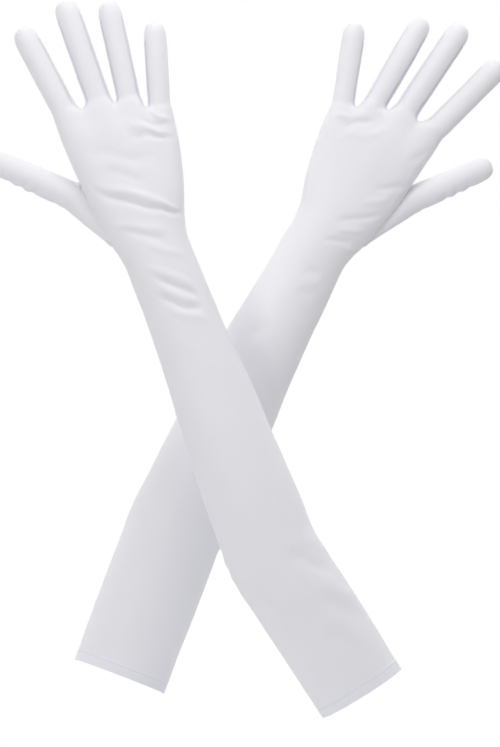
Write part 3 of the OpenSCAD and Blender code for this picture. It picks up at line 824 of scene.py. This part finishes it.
def overlock(cloth, name):
    """The side seam's allowance, an overlocked strip against the inside of the sleeve."""
    glove = cloth.glove
    line = np.nonzero(np.abs(cloth.place[:, 0] - HALF * COLUMN) < ON_LINE)[0]
    line = line[np.argsort(cloth.place[line, 1])]
    s, places, outs = cloth.place[line, 1], cloth.points[line], cloth.normals[line]
    stops = np.arange(OVERLOCK_SPAN[0], OVERLOCK_SPAN[1], OVERLOCK_PITCH / 2)
    centre = np.stack([np.interp(stops, s, places[:, c]) for c in range(3)], axis=1)
    out = np.stack([np.interp(stops, s, outs[:, c]) for c in range(3)], axis=1)
    out /= np.linalg.norm(out, axis=1)[:, None]
    points, faces = [], []
    for n in range(len(stops)):
        half = OVERLOCK_HALF + (OVERLOCK_WAVE if n % 2 else -OVERLOCK_WAVE)
        deep = OVERLOCK_T * (1 if n % 2 else OVERLOCK_THIN)
        top = centre[n] - out[n] * (CLOTH + OVERLOCK_GAP)
        for x, y in OVERLOCK_RING:
            points.append(top - out[n] * deep * y + PALM_WAY * half * x)
    count = len(OVERLOCK_RING)
    for n in range(len(stops) - 1):
        a, b = n * count, (n + 1) * count
        faces += [(a + i, a + (i + 1) % count, b + (i + 1) % count, b + i) for i in range(count)]
    last = (len(stops) - 1) * count
    faces += [list(range(count))[::-1], [last + i for i in range(count)]]
    if glove.side == "right":
        faces = [f[::-1] for f in faces]
    return add_mesh(f"{glove.side}_{name}", points, faces, THREAD)


# ------------------------------------------------------------------ materials


def new_material(name):
    material = bpy.data.materials.new(name)
    material.use_nodes = True
    tree = material.node_tree
    return material, tree, tree.nodes["Principled BSDF"]


CLOUD_SCALE, CLOUD_DETAIL = 22, 3
# The grain's ribs and rows of loops: direction, scale, distortion and detail
RIBS = ("X", 0.62, 0.6, 1)
ROWS = ("Y", 0.8, 0.4, 2)
BUMP_STRENGTH = 0.35
ROUGHNESS_SWING = 0.05
SHEEN_ROUGHNESS = 0.4
SPECULAR = 0.45


def bands(tree, grain, direction, scale, distortion, detail):
    """Stripes across the cloth's grain."""
    wave = tree.nodes.new("ShaderNodeTexWave")
    wave.wave_type = "BANDS"
    wave.bands_direction = direction
    wave.inputs["Scale"].default_value = scale
    wave.inputs["Distortion"].default_value = distortion
    wave.inputs["Detail"].default_value = detail
    tree.links.new(grain.outputs["UV"], wave.inputs["Vector"])
    return wave


def knit(name, low, high, roughness, sheen, rib_depth):
    """Satin-faced stretch knit: fine ribs along the cloth's grain, a slight unevenness, and a soft sheen."""
    material, tree, shader = new_material(name)
    nodes, links = tree.nodes, tree.links
    grain = nodes.new("ShaderNodeUVMap")
    grain.uv_map = "grain"
    position = nodes.new("ShaderNodeTexCoord")

    cloudy = nodes.new("ShaderNodeTexNoise")
    cloudy.inputs["Scale"].default_value = CLOUD_SCALE
    cloudy.inputs["Detail"].default_value = CLOUD_DETAIL
    links.new(position.outputs["Object"], cloudy.inputs["Vector"])
    tint = nodes.new("ShaderNodeMix")
    tint.data_type = "RGBA"
    links.new(cloudy.outputs["Fac"], tint.inputs["Factor"])
    tint.inputs["A"].default_value = (*low, 1)
    tint.inputs["B"].default_value = (*high, 1)
    links.new(tint.outputs["Result"], shader.inputs["Base Color"])

    loops = nodes.new("ShaderNodeMath")
    loops.operation = "MULTIPLY"
    for n, band in enumerate((RIBS, ROWS)):
        links.new(bands(tree, grain, *band).outputs["Fac"], loops.inputs[n])
    bump = nodes.new("ShaderNodeBump")
    bump.inputs["Strength"].default_value = BUMP_STRENGTH
    bump.inputs["Distance"].default_value = rib_depth * MM
    links.new(loops.outputs["Value"], bump.inputs["Height"])
    links.new(bump.outputs["Normal"], shader.inputs["Normal"])

    sheens = nodes.new("ShaderNodeMapRange")
    sheens.inputs["To Min"].default_value = roughness - ROUGHNESS_SWING
    sheens.inputs["To Max"].default_value = roughness + ROUGHNESS_SWING
    links.new(cloudy.outputs["Fac"], sheens.inputs["Value"])
    links.new(sheens.outputs["Result"], shader.inputs["Roughness"])
    shader.inputs["Sheen Weight"].default_value = sheen
    shader.inputs["Sheen Roughness"].default_value = SHEEN_ROUGHNESS
    shader.inputs["Specular IOR Level"].default_value = SPECULAR
    return material


# Name, the two colours that it clouds between, roughness, sheen, and depth of ribs in millimetres
SATIN = knit("satin_knit", (0.845, 0.842, 0.875), (0.875, 0.872, 0.90), 0.5, 0.25, 0.12)
# The side strips' knit is the satin's cloth painted darker and bluer: painted shade for the sides of the
# fingers
GUSSET_SHADED = knit("gusset_knit", (0.78, 0.785, 0.84), (0.82, 0.825, 0.88), 0.55, 0.25, 0.14)
HEM = knit("hem_knit", (0.84, 0.84, 0.89), (0.88, 0.88, 0.92), 0.5, 0.25, 0.12)
THREAD = knit("sewing_thread", (0.82, 0.82, 0.86), (0.86, 0.86, 0.89), 0.6, 0.15, 0.1)
# The finger seams' thread is white thread painted dark grey-lavender: painted shade for the grooves that it
# lies in
SEAM_SHADE = knit("seam_thread_painted_shade", (0.6, 0.6, 0.68), (0.66, 0.66, 0.73), 0.6, 0.15, 0.1)


# ------------------------------------------------------------------ gloves


def settle(piece, side, bodies, turn, nodes):
    """Hangs a piece on the body that it rides on, or only fixes it in place where it bends across two, and
    hides the nodes that it stands for.
    """
    names = [f"{side}_{body}" for body in bodies]
    if turn:
        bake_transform(piece)
    else:
        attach(piece, *names)
    if nodes:
        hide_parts(*[f"{side}_{node}" for node in nodes])
    return piece


def build_glove(side):
    glove = Glove(side)
    cloth = Cloth(glove, build_cage(glove), 2)
    seams = seam_edges(cloth)
    cloth.push(fold_field(cloth))
    cloth.push(seam_field(cloth, seams))

    def panel(name, label, bodies, turn, nodes, material, slot, thickness=CLOTH):
        return settle(cloth_piece(cloth, name, [label], thickness, material), side, bodies, turn, nodes)

    def thread(name, lines, size, material, bodies, turn, nodes):
        piece = stitches(cloth, name, lines, size, material)
        return settle(piece, side, bodies, turn, nodes)

    arm = ("upper_arm", "forearm")
    elbow = (glove.elbow - glove.upper * ELBOW_BEND, glove.elbow + glove.fore * ELBOW_BEND)
    wrist = (glove.wrist - glove.fore * WRIST_BEND, glove.wrist + glove.hand * WRIST_BEND)

    hem = panel("hem", "hem_band", arm[:1], None, ["hem_band"], HEM, "hem_knit", HEM_CLOTH)
    row = np.nonzero(
        (np.abs(cloth.place[:, 1] - HEM_STITCH) < ON_LINE) & (cloth.place[:, 0] < AROUND * COLUMN - ON_LINE)
    )[0]
    row = row[np.argsort(cloth.place[row, 0])]
    hem_stitches = thread("hem_stitches", [np.append(row, row[0])], HEM_THREAD, THREAD, arm[:1], None,
                          ["hem_stitching"])
    sleeve = panel("sleeve", "sleeve", arm, elbow, ["upper_sleeve", "elbow_sleeve", "forearm_sleeve"],
                   SATIN, "satin_knit")
    side_seam = settle(overlock(cloth, "side_seam"), side, arm, elbow,
                       ["upper_side_seam", "forearm_side_seam"])

    hand = panel("hand", "hand", ("forearm", "hand"), wrist, ["wrist_sleeve", "hand"], SATIN, "satin_knit")
    webs = panel("web_gussets", "web_gussets", ["hand"], None, ["web_gussets"], GUSSET_SHADED, "gusset_knit")
    mouth = chains(edges_between(cloth, "thumb_base", "hand"))
    thumb_stitches = thread("thumb_stitches", mouth, THUMB_THREAD, THREAD, ["hand"], None, ["thumb_seam"])

    def turn_of(root, way, span):
        return root + way * span[0], root + way * span[1]

    turns = [turn_of(glove.thumb_root, glove.thumb_way, span) for span in THUMB_BEND]
    thumb = panel("thumb_base", "thumb_base", ("hand", "thumb_lower"), turns[0],
                  ["thumb_base", "thumb_lower"], SATIN, "satin_knit")
    thumb_tip = panel("thumb_tip", "thumb_tip", ("thumb_lower", "thumb_tip"), turns[1],
                      ["thumb_tip"], SATIN, "satin_knit")

    for k, f in enumerate(FINGERS):
        parts = (("lower", ("hand", f + "_lower")), ("tip", (f + "_lower", f + "_tip")))
        for (part, bodies), span in zip(parts, FINGER_BEND):
            turn = turn_of(glove.finger_root[k], glove.finger_way[k], span)
            name = f"{f}_{part}"
            strip = name + "_gusset"
            panel(name, name, bodies, turn, [name], SATIN, "satin_knit")
            # the side strip takes the knit that carries painted shade
            panel(strip, strip, bodies, turn, [strip], GUSSET_SHADED, "gusset_knit")
            seam = chains(edges_between(cloth, name, strip))
            # the finger seam's stitches are painted dark as shade in the groove
            thread(name + "_stitches", seam, FINGER_THREAD, SEAM_SHADE, bodies, turn, [])


for side in ("left", "right"):
    build_glove(side)

# ------------------------------------------------------------------ floor, light and camera

CAMERA = (0.0941, -3.036, 0.214)
LENS = 206.6
SENSOR = 36
FLOOR_Z = -0.30
FLOOR_HALF = 6.0
FLOOR_COLOUR = (0.86, 0.86, 0.87, 1)
FLOOR_ROUGHNESS = 0.9
FLOOR_FADE = (0.7, 1.25)        # the pale floor turns into the white backdrop between these distances
# The studio's light from in front of the gloves, and from the white wall behind them
AMBIENT = (0.455, 1.15)
AMBIENT_EDGE = (-0.35, 0.35)    # the one turns into the other between these Y parts of a direction
AMBIENT_TINT = (0.955, 0.96, 1.0, 1)
WHITE = (1, 1, 1, 1)
# Name, place, target, size, power and colour
LIGHTS = (
    ("side", (-0.6, -1.15, 0.72), (0.09, 0, 0.3), 0.45, 4.3, (1.0, 0.985, 0.955)),
    ("top", (0.25, -0.5, 1.05), (0.09, 0, 0.4), 0.5, 3.0, (1.0, 0.99, 0.97)),
)

scene = bpy.context.scene


def seen_and_cast(tree):
    """A backdrop's strength: 1 where it is seen, and its own where it lights the object."""
    nodes, links = tree.nodes, tree.links
    path = nodes.new("ShaderNodeLightPath")
    seen = nodes.new("ShaderNodeMix")
    links.new(path.outputs["Is Camera Ray"], seen.inputs["Factor"])
    seen.inputs["A"].default_value = AMBIENT[0]
    seen.inputs["B"].default_value = 1.0
    return path, seen


world = bpy.data.worlds.new("studio")
scene.world = world
world.use_nodes = True
tree = world.node_tree
background = tree.nodes["Background"]
path, strength = seen_and_cast(tree)
tree.links.new(strength.outputs["Result"], background.inputs["Strength"])
direction = tree.nodes.new("ShaderNodeTexCoord")
parts = tree.nodes.new("ShaderNodeSeparateXYZ")
tree.links.new(direction.outputs["Generated"], parts.inputs["Vector"])
wall = tree.nodes.new("ShaderNodeMapRange")
wall.interpolation_type = "SMOOTHSTEP"
wall.inputs["From Min"].default_value, wall.inputs["From Max"].default_value = AMBIENT_EDGE
wall.inputs["To Min"].default_value, wall.inputs["To Max"].default_value = AMBIENT
tree.links.new(parts.outputs["Y"], wall.inputs["Value"])
tree.links.new(wall.outputs["Result"], strength.inputs["A"])
tint = tree.nodes.new("ShaderNodeMix")
tint.data_type = "RGBA"
tree.links.new(path.outputs["Is Camera Ray"], tint.inputs["Factor"])
tint.inputs["A"].default_value = AMBIENT_TINT
tint.inputs["B"].default_value = WHITE
tree.links.new(tint.outputs["Result"], background.inputs["Color"])

floor_mesh = bpy.data.meshes.new("floor")
floor_mesh.from_pydata([
    (x * FLOOR_HALF, y * FLOOR_HALF, FLOOR_Z) for x, y in ((-1, -1), (1, -1), (1, 1), (-1, 1))
], [], [(0, 1, 2, 3)])
floor = bpy.data.objects.new("floor", floor_mesh)
scene.collection.objects.link(floor)
floor_paint, tree, floor_shader = new_material("floor_paint")
floor_shader.inputs["Base Color"].default_value = FLOOR_COLOUR
floor_shader.inputs["Roughness"].default_value = FLOOR_ROUGHNESS
backdrop = tree.nodes.new("ShaderNodeEmission")
tree.links.new(seen_and_cast(tree)[1].outputs["Result"], backdrop.inputs["Strength"])
place = tree.nodes.new("ShaderNodeTexCoord")
distance = tree.nodes.new("ShaderNodeVectorMath")
distance.operation = "LENGTH"
tree.links.new(place.outputs["Object"], distance.inputs[0])
fade = tree.nodes.new("ShaderNodeMapRange")
fade.interpolation_type = "SMOOTHSTEP"
fade.inputs["From Min"].default_value = math.hypot(FLOOR_FADE[0], FLOOR_Z)
fade.inputs["From Max"].default_value = math.hypot(FLOOR_FADE[1], FLOOR_Z)
tree.links.new(distance.outputs["Value"], fade.inputs["Value"])
blend = tree.nodes.new("ShaderNodeMixShader")
tree.links.new(fade.outputs["Result"], blend.inputs["Fac"])
tree.links.new(floor_shader.outputs["BSDF"], blend.inputs[1])
tree.links.new(backdrop.outputs["Emission"], blend.inputs[2])
tree.links.new(blend.outputs["Shader"], tree.nodes["Material Output"].inputs["Surface"])
floor_mesh.materials.append(floor_paint)


def area_light(name, place, target, size, power, colour):
    light = bpy.data.lights.new(name, "AREA")
    light.shape = "SQUARE"
    light.size = size
    light.energy = power
    light.color = colour
    obj = bpy.data.objects.new(name, light)
    scene.collection.objects.link(obj)
    obj.location = place
    obj.rotation_euler = (Vector(target) - Vector(place)).to_track_quat("-Z", "Y").to_euler()


for light in LIGHTS:
    area_light(*light)

camera_data = bpy.data.cameras.new("camera")
camera_data.lens = LENS
camera_data.sensor_width = SENSOR
camera = bpy.data.objects.new("camera", camera_data)
scene.collection.objects.link(camera)
camera.location = CAMERA
camera.rotation_euler = (math.pi / 2, 0, 0)
scene.camera = camera
scene.view_settings.view_transform = "Standard"
